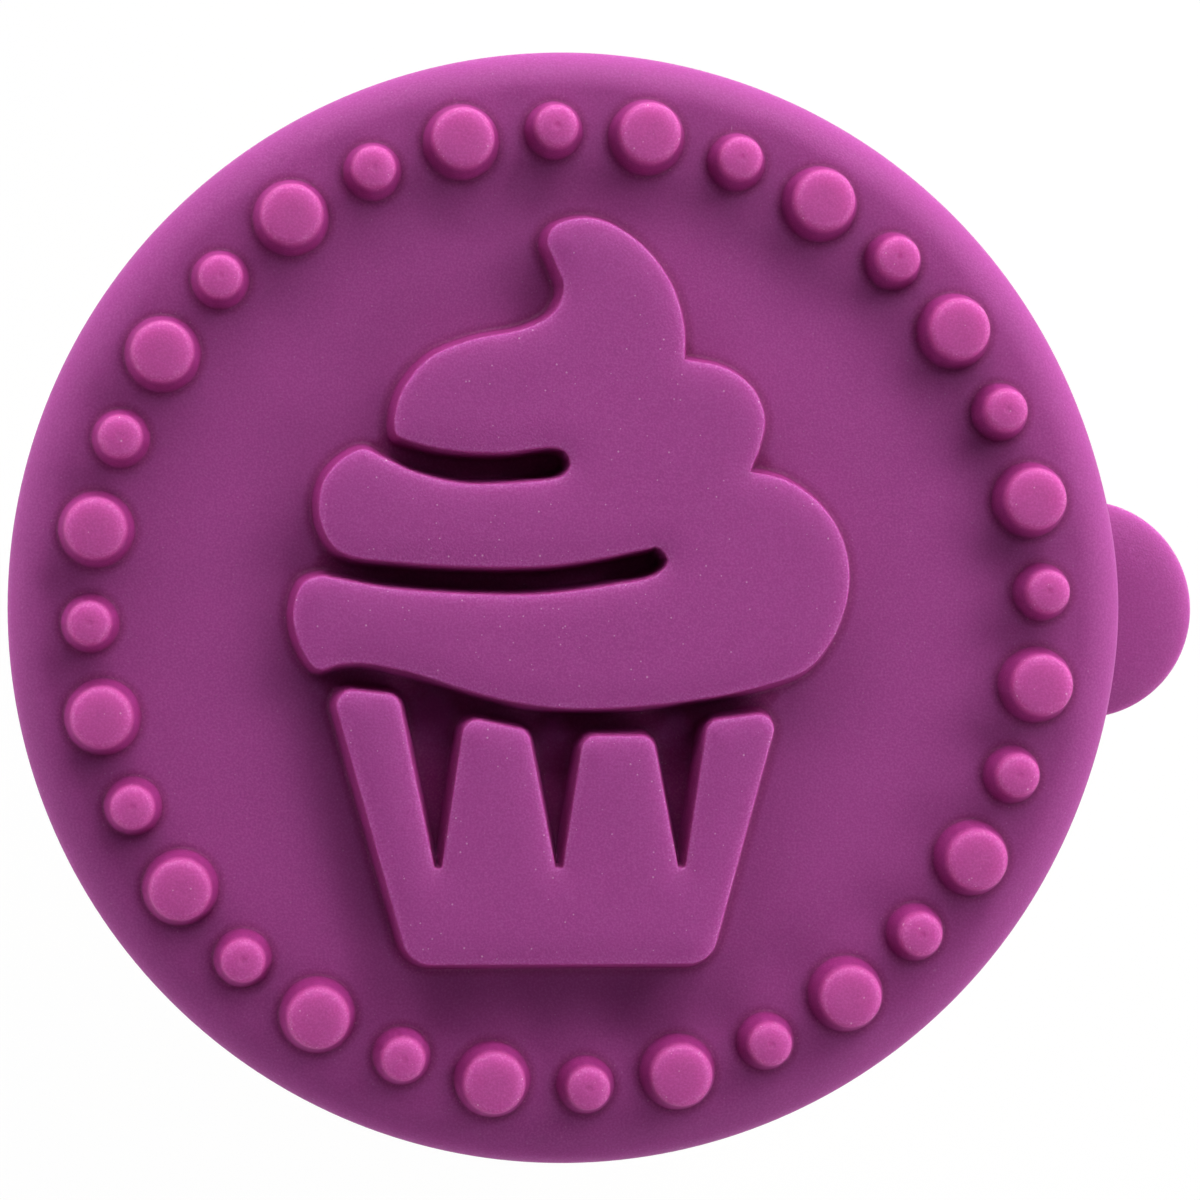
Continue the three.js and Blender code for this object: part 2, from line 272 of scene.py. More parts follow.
def wallProfile(top, lean, foot, shoulder, tilt):
    # from the flat top down to the face: offset from the drawn outline, height above the face,
    # and the share of the deep colour, a painted shade which grows over the upper edge and runs out on the
    # face
    lean, tilt, height = math.radians(lean), math.radians(tilt), padSizes["reliefHeight"]
    start = top * (math.sin(tilt) - math.cos(lean)) - shoulder
    bend = math.tan(tilt) * shoulder / 2  # how far the shoulder has come down at its end
    rows = [(start + shoulder * k, height - bend * k**2, 0) for k in (0, 0.25, 0.5, 0.75)]
    edgeTop = height - bend - top * math.cos(tilt)
    for k in np.linspace(0, 1, 7):
        t = tilt + (math.pi / 2 - lean - tilt) * k
        rows.append((top * (math.sin(t) - math.cos(lean)), edgeTop + top * math.cos(t), k))
    wallHigh, wallLow = rows[-1][1], foot * (1 - math.sin(lean))
    run = (wallHigh - wallLow) * math.tan(lean)
    rows += [(run * k, wallHigh + (wallLow - wallHigh) * k, 1) for k in (0.33, 0.66)]
    reach = run + foot * math.cos(lean)
    for k in np.linspace(1, 0, 6):
        t = (math.pi / 2 - lean) * k
        # painted shade at the foot: full on the wall, this share where the rounding meets the face
        deep = k + (1 - k) * padSizes["footShadeShare"]
        rows.append((reach - foot * math.sin(t), foot - foot * math.cos(t), deep))
    rows.append((reach + padSizes["footShadeReach"], 0, 0))
    return np.array(rows)


def studPlaces():
    # x, y and top radius of every stud
    s = padSizes
    ringRadius = padRadius - s["studRingInset"]
    out = []
    for i in range(2 * s["studPairs"]):
        a = math.radians(s["studRingTurn"]) + i * math.pi / s["studPairs"]
        across = s["largeStud"] if i % 2 else s["smallStud"]
        out.append((ringRadius * math.cos(a), ringRadius * math.sin(a), across / 2))
    return out


def edgeFall(radius):
    # how far the rounded edge has fallen below the face
    rounding = padSizes["edgeRound"]
    over = np.clip(radius - (padRadius - rounding), 0, rounding)
    return rounding - np.sqrt(rounding**2 - over**2)


class FacePlan:
    # points and edges of the face seen from above, before it is triangulated
    def __init__(self):
        self.points, self.edges = [], []

    def addRing(self, ring, keep=None):
        keep = np.ones(len(ring), bool) if keep is None else keep
        number = {i: len(self.points) + k for k, i in enumerate(np.nonzero(keep)[0])}
        self.points += [ring[i] for i in number]
        pairs = [(i, (i + 1) % len(ring)) for i in number]
        self.edges += [(number[i], number[j]) for i, j in pairs if j in number]
        return number


def unitCircle(steps):
    turns = np.linspace(0, 2 * math.pi, steps, endpoint=False)
    return np.column_stack([np.cos(turns), np.sin(turns)])


def slotDepth(points, toFigure):
    # 1 where the figure stands close by on two opposite sides, as in its slots and notches
    step, span, far = 0.15, 24, 9.0  # of the grid, of the figure's half, and beyond any slot
    width = padSizes["slotWidth"]
    cells = np.arange(-span, span, step)
    grid = np.stack(np.meshgrid(cells, cells, indexing="ij"), -1)
    raised = (toFigure(grid.reshape(-1, 2)) < 0).reshape(grid.shape[:2])
    narrowest = np.full(len(points), far)
    for angle in np.radians((0, 30, 60, 90, 120, 150)):
        across = np.zeros(len(points))
        for side in (1, -1):
            nearest = np.full(len(points), far)
            for reach in np.arange(width * 1.5, 0, -step):
                spot = points + side * reach * np.array([math.cos(angle), math.sin(angle)])
                row, col = np.clip(np.round((spot - cells[0]) / step).astype(int), 0, len(cells) - 1).T
                nearest[raised[row, col]] = reach
            across += nearest
        narrowest = np.minimum(narrowest, across)
    return np.clip((1.5 * width - narrowest) / (0.5 * width), 0, 1)


def padFace(loops, studs, outerRadius):
    s = padSizes
    figureWall, studWall = wallProfile(**s["figureWall"]), wallProfile(**s["studWall"])
    figureReach, studReach = figureWall[-1, 0], studWall[-1, 0]
    plan = FacePlan()
    circle = unitCircle(s["rimSteps"])
    outer = plan.addRing(circle * outerRadius)

    def toStuds(p):
        return np.min([np.hypot(p[:, 0] - x, p[:, 1] - y) - r for x, y, r in studs], axis=0)

    def toFigure(p):
        return np.minimum(*[signedDistance(p, loop) for loop in loops])

    # rings along the figure, left out where the far wall of a slot or notch is nearer
    ringSlack = 0.015
    for loop in loops:
        normals = outwardNormals(loop)
        for offset in figureWall[:, 0]:
            ring = loop + normals * offset
            plan.addRing(ring, np.abs(toFigure(ring) - offset) < ringSlack)
    studCircle = unitCircle(s["studSteps"])
    for x, y, r in studs:
        for radius in [s["dimpleRadius"] * k for k in (0.4, 0.7, 1)] + list(r + studWall[:, 0]):
            plan.addRing(np.array([x, y]) + studCircle * radius)
    # rings where the edge begins to fall, clear of the studs
    fallStart = padRadius - s["edgeRound"]
    for radius in np.linspace(fallStart - 0.3, outerRadius, 8)[:-1]:
        plan.addRing(circle * radius, toStuds(circle * radius) > studReach + 0.05)
    # points over the flat parts
    count = int(fallStart / s["fillStep"]) + 1
    rows, cols = np.mgrid[-count:count + 1, -count:count + 1]
    rowHeight = 0.866  # of even triangles
    across, up = (cols + 0.5 * (rows % 2)) * s["fillStep"], rows * rowHeight * s["fillStep"]
    grid = np.column_stack([across.ravel(), up.ravel()])
    figureGap, studGap = toFigure(grid), toStuds(grid)
    onFace = (figureGap > figureReach + s["fillGap"]) & (studGap > studReach + s["fillGap"])
    onFigure = figureGap < figureWall[0, 0] - s["fillTopGap"]
    insideEdge = np.hypot(*grid.T) < fallStart - s["fillRimGap"]
    plan.points += list(grid[insideEdge & (onFace | onFigure)])

    points = [Vector(p) for p in plan.points]
    flat, _, triangles, origin, _, _ = delaunay_2d_cdt(points, plan.edges, [], 0, 1e-6)
    flat = np.array([tuple(v) for v in flat])
    figureGap, studGap = toFigure(flat), toStuds(flat)
    rise, deep = (np.maximum(np.interp(figureGap, figureWall[:, 0], figureWall[:, k]),
                             np.interp(studGap, studWall[:, 0], studWall[:, k])) for k in (1, 2))
    height = rise - edgeFall(np.hypot(*flat.T)) * (studGap > 0)
    for x, y, _ in studs[::2]:
        share = np.hypot(flat[:, 0] - x, flat[:, 1] - y) / s["dimpleRadius"]
        height -= np.where(share < 1, s["dimple"] * (1 - share**2), 0)
    # for the material: the stud tops, made lighter as painted light, the upper edges, which get dust and a
    # painted sheen, and how deep each place lies between walls, which sets the painted shade
    tops = np.where(studGap < 0.02, 1.0, 0.0)
    toEdge = np.minimum(np.abs(figureGap + s["edgeInset"]), np.abs(studGap + s["edgeInset"]))
    edges = np.clip(1 - toEdge / s["edgeWidth"], 0, 1)
    # painted shade: slots and notches get the dark colour all through
    deep = np.maximum(deep, slotDepth(flat, toFigure) * (figureGap > 0))
    sources = {source: i for i, found in enumerate(origin) for source in found}
    rim = [sources[outer[i]] for i in range(s["rimSteps"])]
    values = {"studTop": tops, "edge": edges, "deep": deep}
    return np.column_stack([flat, height + faceZ]), [list(t) for t in triangles], rim, values


def makePad():
    s = padSizes
    frosting = np.vstack([smoothRun(run, s["outlineStep"])[:-1] for run in (frostingLeft, frostingRight)])
    cup = roundedPolygon(cupCorners, s["outlineStep"])
    loops = [counterClockwise(outline) * s["figureScale"] for outline in (frosting, cup)]
    outerRadius = padRadius - s["edgeRound"] * 0.5  # where the edge's arc is at 60 degrees
    verts, faces, ring, values = padFace(loops, studPlaces(), outerRadius)
    faceCount = len(verts)
    # turned part: the rest of the edge, wall, skirt and recess
    rho, low, bottom, bevel = s["edgeRound"], s["skirtRound"], padLow.z, s["recessChamfer"]
    profile = arc(padRadius - rho, faceZ - rho, rho, 60, 0, 12)[1:]
    profile += arc(padRadius - low, bottom + low, low, 0, -90, 6)
    profile += [(recessRadius + bevel, bottom), (recessRadius, bottom + bevel)]
    profile += [(recessRadius, ceilingZ - bevel), (recessRadius - bevel, ceilingZ)]
    profile.append((recessRadius / 2, ceilingZ))
    circle = unitCircle(s["rimSteps"])
    for radius, z in profile:
        newRing = [len(verts) + i for i in range(len(circle))]
        verts = np.vstack([verts, np.column_stack([circle * radius, np.full(len(circle), z)])])
        for i in range(len(circle)):
            j = (i + 1) % len(circle)
            faces.append([ring[i], newRing[i], newRing[j], ring[j]])
        ring = newRing
    verts = np.vstack([verts, [(0, 0, ceilingZ)]])
    faces += [[ring[i], len(verts) - 1, ring[(i + 1) % len(ring)]] for i in range(len(ring))]
    # slight swell of the edge behind the tab
    radius = np.hypot(verts[:, 0], verts[:, 1])
    angle = np.degrees(np.arctan2(verts[:, 1], verts[:, 0]))
    outward = np.clip((radius - padRadius + s["tabSwellDepth"]) / s["tabSwellDepth"], 0, 1)
    swell = s["tabSwell"] * np.exp(-(angle / s["tabSwellAngle"])**2) * outward
    verts[:, :2] *= (1 + swell / np.maximum(radius, 1))[:, None]
    rest = np.zeros(len(verts) - faceCount)
    for key in values:
        values[key] = np.append(values[key], rest)
    return newPiece("silicone_pad", verts, faces, **values)


pad = makePad()
weighNormals(pad)
print("stage: pad built,", len(pad.data.vertices), "points")


# pull tab: a round tongue on the lower edge of the skirt

tabSizes = {
    "radius": 6.5,
    "crownDrop": 1.1,    # its upper face falls away towards the free edge
    "crownWidth": 3.4,
    "edgeRound": 0.5,    # under side
    "rooted": 0.5,       # how far it runs into the skirt
    "sideShift": -0.08,
    "acrossSteps": 72,
    "outSteps": 18,
    "weldGap": 0.002,
}


def makeTab():
    s = tabSizes
    low, high = (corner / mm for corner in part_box("pull_tab"))
    centreX = high.x - s["radius"]
    half, midZ = (high.z - low.z) / 2, (high.z + low.z) / 2
    inner = padRadius - s["rooted"]
    # where the tongue's round outline crosses the circle it is rooted on
    crossX = (inner**2 - s["radius"]**2 + centreX**2) / (2 * centreX)
    crossY = math.sqrt(inner**2 - crossX**2)
    turnMax = math.atan2(crossY, crossX - centreX)
    rootMax = math.atan2(crossY, crossX)
    outward = 1 - (1 - np.linspace(0, 1, s["outSteps"] + 1))**2.2  # closer together towards the free edge
    across = np.linspace(-1, 1, s["acrossSteps"] + 1)
    verts, sheets = [], []
    for side, width, fall in ((1, s["crownWidth"], s["crownDrop"]), (-1, s["edgeRound"], s["edgeRound"])):
        rows = []
        for u in across:
            root = inner * np.array([math.cos(u * rootMax), math.sin(u * rootMax)])
            tip = s["radius"] * np.array([math.cos(u * turnMax), math.sin(u * turnMax)]) + (centreX, 0)
            rows.append([len(verts) + k for k in range(len(outward))])
            for v in outward:
                x, y = root + (tip - root) * v
                lack = np.clip(1 - (s["radius"] - math.hypot(x - centreX, y)) / width, 0, 1)
                drop = fall * (1 - math.sqrt(1 - lack**2))
                verts.append((x, y + s["sideShift"], midZ + side * (half - drop)))
        sheets.append(rows)
    faces = []
    for upper, lower in zip(zip(sheets[0], sheets[0][1:]), zip(sheets[1], sheets[1][1:])):
        for here, after in (upper, lower):
            faces += [[here[k], here[k + 1], after[k + 1], after[k]] for k in range(s["outSteps"])]
        for k in (0, -1):
            faces.append([upper[0][k], lower[0][k], lower[1][k], upper[1][k]])
    for end in (0, -1):
        top, under = sheets[0][end], sheets[1][end]
        faces += [[top[k], top[k + 1], under[k + 1], under[k]] for k in range(s["outSteps"])]
    tab = newPiece("silicone_tab", verts, faces)
    weld(tab, s["weldGap"] * mm)
    return tab


tab = makeTab()
print("stage: tab built")


# turned handle, head and screw; the photo hides them, the frame gives their places

handleSizes = {
    "endDiameter": 27, "endRound": 2.5,
    "gripDiameter": 33, "gripHeight": 15,
    "waistDiameter": 18, "waistHeight": 35,
    "collarDiameter": 27, "collarBand": 2.5, "collarRound": 0.5,
    "holeChamfer": 0.2, "profileStep": 0.7, "segments": 144,
}
headSizes = {"edgeRound": 0.8, "sinkChamfer": 0.15, "segments": 160}
screwSizes = {
    "diameter": 4, "headDiameter": 8, "rim": 0.4, "point": 4, "fitGap": 0.3,
    "pitch": 1.6, "threadDepth": 0.35, "shank": 6,
    "driveWidth": 1.1, "driveSpan": 4.4, "driveDepth": 1.4,
    "headChamfer": 0.12, "threadStep": 0.16, "segments": 48,
}
creaseAngle = {"wood": 40, "steel": 35}  # edges sharper than this, in degrees, stay sharp


def makeHandle():
    s = handleSizes
    low, high = (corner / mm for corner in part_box("handle_grip"))
    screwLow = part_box("handle_screw")[0].z / mm
    hole = screwSizes["diameter"] / 2 + screwSizes["fitGap"]
    end, collar = s["endDiameter"] / 2, s["collarDiameter"] / 2
    swell = smoothRun([(end, s["endRound"]), (s["gripDiameter"] / 2, s["gripHeight"]),
                       (s["waistDiameter"] / 2, s["waistHeight"]), (collar, high.z - s["collarBand"])],
                      s["profileStep"])
    profile = [(0, low.z), (end / 2, low.z)]
    profile += arc(end - s["endRound"], s["endRound"], s["endRound"], -90, 0, 10)[:-1]
    profile += [tuple(p) for p in swell]
    profile += arc(collar - s["collarRound"], high.z - s["collarRound"], s["collarRound"], 0, 90, 5)
    bevel, holeEnd = s["holeChamfer"], screwLow - screwSizes["fitGap"]
    profile += [(hole + bevel, high.z), (hole, high.z - bevel), (hole, holeEnd), (0, holeEnd)]
    return newPiece("beech_handle", *turned(profile, s["segments"]))


def makeHead():
    s = headSizes
    hole = screwSizes["diameter"] / 2 + screwSizes["fitGap"]
    sink = screwSizes["headDiameter"] / 2 + screwSizes["fitGap"]
    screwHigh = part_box("handle_screw")[1].z / mm
    rimLow = screwHigh - screwSizes["rim"] - screwSizes["fitGap"]
    cone = (screwSizes["headDiameter"] - screwSizes["diameter"]) / 2
    edge, bevel = s["edgeRound"], s["sinkChamfer"]
    profile = [(hole, headLow.z)]
    profile += arc(headHigh.x - edge, headLow.z + edge, edge, -90, 0, 8)
    profile += arc(headHigh.x - edge, headHigh.z - edge, edge, 0, 90, 8)
    profile += [(sink + bevel, headHigh.z), (sink, headHigh.z - bevel), (sink, rimLow), (hole, rimLow - cone)]
    return newPiece("beech_head", *turned(profile, s["segments"], ringClosed=True))


def makeScrew():
    s = screwSizes
    low, high = (corner.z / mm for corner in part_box("handle_screw"))
    radius, headRadius = s["diameter"] / 2, s["headDiameter"] / 2
    coneLow = high - s["rim"] - (headRadius - radius)
    threadTop = coneLow - s["shank"]
    segments, bevel = s["segments"], s["headChamfer"]
    # thread: a wave that climbs one pitch in each turn, fading out at the shank and the point
    heights = np.linspace(low + 0.15, threadTop, round((threadTop - low) / s["threadStep"]))
    turns = np.arange(segments) / segments
    angles = 2 * math.pi * turns
    rows = []
    for z in heights:
        wave = np.abs(((turns - z / s["pitch"]) % 1) * 2 - 1)
        depth = s["threadDepth"] * min(1, (threadTop - z) / s["pitch"])
        narrowing = min(1, (z - low) / s["point"] + 0.02)  # towards the point
        rows.append((z, (radius - depth * np.clip(wave * 1.6 - 0.3, 0, 1)) * narrowing))
    for r, z in [(radius, coneLow), (headRadius - 0.1, high - s["rim"] - 0.1), (headRadius, high - s["rim"]),
                 (headRadius, high - bevel), (headRadius - bevel, high)]:
        rows.append((z, np.full(segments, r)))
    verts = [(0, 0, low)]
    for z, radii in rows:
        verts += [(r * math.cos(t), r * math.sin(t), z) for r, t in zip(radii, angles)]
    verts.append((0, 0, high))
    faces = []
    last = len(rows) - 1
    for i in range(segments):
        j = (i + 1) % segments
        faces.append([0, 1 + j, 1 + i])
        for k in range(last):
            a, b = 1 + k * segments, 1 + (k + 1) * segments
            faces.append([a + i, a + j, b + j, b + i])
        faces.append([1 + last * segments + i, 1 + last * segments + j, len(verts) - 1])
    screw = newPiece("steel_screw", verts, faces)
    cutCross(screw, high)
    return screw


def cutCross(screw, top):
    # cross recess with sloping ends
    s = screwSizes
    for quarter in (0, math.pi / 2):
        bm = bmesh.new()
        long, wide, deep = s["driveSpan"] / 2, s["driveWidth"] / 2, s["driveDepth"]
        corners = [(-long, 0.2), (-long * 0.45, -deep), (long * 0.45, -deep), (long, 0.2)]
        sides = [[bm.verts.new((x * mm, y * mm, (top + z) * mm)) for x, z in corners] for y in (-wide, wide)]
        bm.faces.new(sides[0])
        bm.faces.new(sides[1][::-1])
        for i in range(4):
            bm.faces.new([sides[0][i], sides[1][i], sides[1][(i + 1) % 4], sides[0][(i + 1) % 4]])
        bmesh.ops.rotate(bm, verts=bm.verts, matrix=Matrix.Rotation(quarter, 3, "Z"))
        bmesh.ops.recalc_face_normals(bm, faces=bm.faces)
        mesh = bpy.data.meshes.new("cutter")
        bm.to_mesh(mesh)
        bm.free()
        cutter = bpy.data.objects.new("cutter", mesh)
        bpy.context.scene.collection.objects.link(cutter)
        cut = screw.modifiers.new("cross", "BOOLEAN")
        cut.operation, cut.object, cut.solver = "DIFFERENCE", cutter, "EXACT"
        bpy.context.view_layer.update()
        done = bpy.data.meshes.new_from_object(screw.evaluated_get(bpy.context.evaluated_depsgraph_get()))
        screw.modifiers.clear()
        screw.data = done
        bpy.data.objects.remove(cutter)
    screw.data.set_sharp_from_angle(angle=math.radians(creaseAngle["steel"]))


handle, head, screw = makeHandle(), makeHead(), makeScrew()
for piece in (handle, head):
    piece.data.set_sharp_from_angle(angle=math.radians(creaseAngle["wood"]))
print("stage: handle, head and screw built")


# node groups shared by the materials

def shade(red, green, blue):
    # screen colour, 0 to 255, as Blender's linear colour
    return [((c / 255 + 0.055) / 1.055)**2.4 if c > 10 else c / 255 / 12.92 for c in (red, green, blue)] + [1]


def addNode(tree, kind, **settings):
    node = tree.nodes.new("ShaderNode" + kind)
    for key, value in settings.items():
        setattr(node, key, value)
    return node


def feed(tree, node, **sources):
    # a source is another node's output or a plain value; spaces in socket names are written as _
    for key, source in sources.items():
        socket = node.inputs[int(key[1:])] if key[1:].isdigit() else node.inputs[key.replace("_", " ")]
        if isinstance(source, bpy.types.NodeSocket):
            tree.links.new(source, socket)
        else:
            socket.default_value = source
    return node.outputs[0]


def maths(tree, operation, a, b=0.0, clamp=False):
    return feed(tree, addNode(tree, "Math", operation=operation, use_clamp=clamp), _0=a, _1=b)


def ramp(tree, value, low, high):
    # 0 at low, 1 at high, smooth between
    node = addNode(tree, "MapRange", interpolation_type="SMOOTHSTEP")
    return feed(tree, node, Value=value, From_Min=low, From_Max=high)


def mixColour(tree, factor, first, second, blend="MIX"):
    node = addNode(tree, "Mix", data_type="RGBA", blend_type=blend)
    feed(tree, node, _0=factor, _6=first, _7=second)
    return node.outputs[2]


def newGroup(name, takes, gives):
    group = bpy.data.node_groups.new(name, "ShaderNodeTree")
    for key, kind, value in takes:
        socket = group.interface.new_socket(key, in_out="INPUT", socket_type="NodeSocket" + kind)
        if value is not None:
            socket.default_value = value
    for key, kind in gives:
        group.interface.new_socket(key, in_out="OUTPUT", socket_type="NodeSocket" + kind)
    return group, group.nodes.new("NodeGroupInput").outputs, group.nodes.new("NodeGroupOutput").inputs


def makeMottle():
    # soft cloudiness and fine grain, both about 0.5
    wants = [("Place", "Vector", None), ("Cloud Size", "Float", 0.006), ("Grain Size", "Float", 0.0002)]
    group, takes, gives = newGroup("fine mottle", wants, [("Cloud", "Float"), ("Grain", "Float")])
    for key in ("Cloud", "Grain"):
        size = maths(group, "DIVIDE", 1.0, takes[key + " Size"])
        noise = addNode(group, "TexNoise")
        value = feed(group, noise, Vector=takes["Place"], Scale=size, Detail=3.0 if key == "Cloud" else 1.0)
        group.links.new(value, gives[key])
    return group


def makeDust():
    # sparse round specks: one possible speck in each cell, kept in a share of the cells
    wants = [("Place", "Vector", None), ("Spacing", "Float", 0.0015), ("Speck", "Float", 0.05),
             ("Share", "Float", 0.3)]
    group, takes, gives = newGroup("dust specks", wants, [("Mask", "Float")])
    cells = addNode(group, "TexVoronoi")
    feed(group, cells, Vector=takes["Place"], Scale=maths(group, "DIVIDE", 1.0, takes["Spacing"]))
    picks = addNode(group, "SeparateColor")
    feed(group, picks, Color=cells.outputs["Color"])
    # specks differ in size from cell to cell
    size = maths(group, "MULTIPLY", takes["Speck"], maths(group, "ADD", picks.outputs["Green"], 0.35))
    away = maths(group, "DIVIDE", cells.outputs["Distance"], size)
    dot = maths(group, "SUBTRACT", 1.0, ramp(group, away, 0.6, 1.1))
    kept = maths(group, "LESS_THAN", picks.outputs["Red"], takes["Share"])
    group.links.new(maths(group, "MULTIPLY", dot, kept), gives["Mask"])
    return group


grainSizes = {
    "rings": 125.0,               # scale of the wave, one ring in about 2.5 mm
    "ringWaver": 1.8,             # how far they wander
    "streak": (0.0009, 0.03),     # across and along the grain, in metres
    "pore": (0.00016, 0.0022),
    "fleck": (0.0007, 0.0032),
    "ringShare": 0.3,             # of the dark colour
    "streakShare": 0.75,
    "fleckShare": 0.55,
    "poreShare": 0.35,
}


def makeGrain():
    # beech: growth rings, short flecks and fine pores along the Z of the place it is given
    s = grainSizes
    wants = [("Place", "Vector", None), ("Early", "Color", (1, 1, 1, 1)), ("Late", "Color", (0, 0, 0, 1)),
             ("Fleck", "Color", (0, 0, 0, 1))]
    group, takes, gives = newGroup("beech grain", wants,
                                   [("Colour", "Color"), ("Height", "Float"), ("Roughness", "Float")])

    def stretched(across, along):
        node = addNode(group, "Mapping")
        return feed(group, node, Vector=takes["Place"], Scale=(1 / across, 1 / across, 1 / along))

    rings = addNode(group, "TexWave", wave_type="RINGS", rings_direction="Z", wave_profile="SAW")
    ringPlace = addNode(group, "Mapping")
    feed(group, ringPlace, Vector=takes["Place"], Location=(0.021, 0.013, 0), Rotation=(0.05, 0.03, 0))
    feed(group, rings, Vector=ringPlace.outputs[0], Scale=s["rings"], Distortion=s["ringWaver"], Detail=3.0,
         Detail_Scale=0.6)
    streaks = feed(group, addNode(group, "TexNoise"), Vector=stretched(*s["streak"]), Scale=1.0, Detail=4.0)
    pores = feed(group, addNode(group, "TexNoise"), Vector=stretched(*s["pore"]), Scale=1.0, Detail=2.0)
    flecks = addNode(group, "TexVoronoi")
    feed(group, flecks, Vector=stretched(*s["fleck"]), Scale=1.0)
    fleck = maths(group, "SUBTRACT", 1.0, ramp(group, flecks.outputs["Distance"], 0.1, 0.24))
    ringEnd = ramp(group, rings.outputs["Fac"], 0.4, 1.0)  # each ring darkens towards its end
    blend = maths(group, "ADD", maths(group, "MULTIPLY", ringEnd, s["ringShare"]),
                  maths(group, "MULTIPLY", streaks, s["streakShare"]))
    wood = mixColour(group, ramp(group, blend, 0.25, 0.85), takes["Early"], takes["Late"])
    wood = mixColour(group, maths(group, "MULTIPLY", fleck, s["fleckShare"]), wood, takes["Fleck"])
    poreColour = mixColour(group, s["poreShare"], wood, takes["Fleck"])
    wood = mixColour(group, ramp(group, pores, 0.6, 0.75), wood, poreColour)
    group.links.new(wood, gives["Colour"])
    poreHeight, fleckDepth = maths(group, "MULTIPLY", pores, 0.7), maths(group, "MULTIPLY", fleck, 0.3)
    height = maths(group, "SUBTRACT", poreHeight, fleckDepth)
    group.links.new(height, gives["Height"])
    group.links.new(maths(group, "ADD", maths(group, "MULTIPLY", pores, 0.2), 0.42), gives["Roughness"])
    return group


mottle, dust, grain = makeMottle(), makeDust(), makeGrain()


def newMaterial(name):
    material = bpy.data.materials.new(name)
    material.use_nodes = True
    tree = material.node_tree
    place = addNode(tree, "TexCoord").outputs["Object"]
    return material, tree, tree.nodes["Principled BSDF"], place


def useGroup(tree, group, **sources):
    node = addNode(tree, "Group", node_tree=group)
    feed(tree, node, **sources)
    return node.outputs


# silicone

siliconeLook = {
    "colour": (156, 65, 138),
    "deep": (134, 31, 105),    # painted shade: darker, redder colour in slots, on walls and at their feet
    "light": (200, 84, 158),   # lighter stud tops: painted light
    # pale colour of the dust specks and of the painted sheen
    "dust": (226, 196, 216),
    "studLight": 0.42,
    "cloud": 0.10,             # strength of the soft cloudiness
    "grain": 0.34,
    "specks": 0.35,
    "edgeDust": 0.5,           # specks caught on the upper edges
    "dustAndSheen": 0.08,            # pale band along the upper edges: dust and painted sheen
    "haze": 0.033,             # the same dust and painted sheen, fainter, in the fine grain all over
    "lint": 0.3,
    "rough": 0.62,
    "scatter": 1.0,
    "scatterDepth": 0.0026,
    "shine": 0.2,
    "bump": 0.12,
    "dustRise": (1.5, 2.6),    # millimetres above the face between which the dust comes to its full
    "dustBelow": 0.3,          # share of it on the face
    "cloudSize": 0.009,        # in metres, as the spacings below
    "grainSize": 0.00013,
    "fineDust": {"Spacing": 0.0005, "Speck": 0.1, "Share": 0.8},
    "coarseDust": {"Spacing": 0.003, "Speck": 0.025, "Share": 0.7},
    "fibres": {"Spacing": 0.0016, "Speck": 0.022, "Share": 0.35},
}


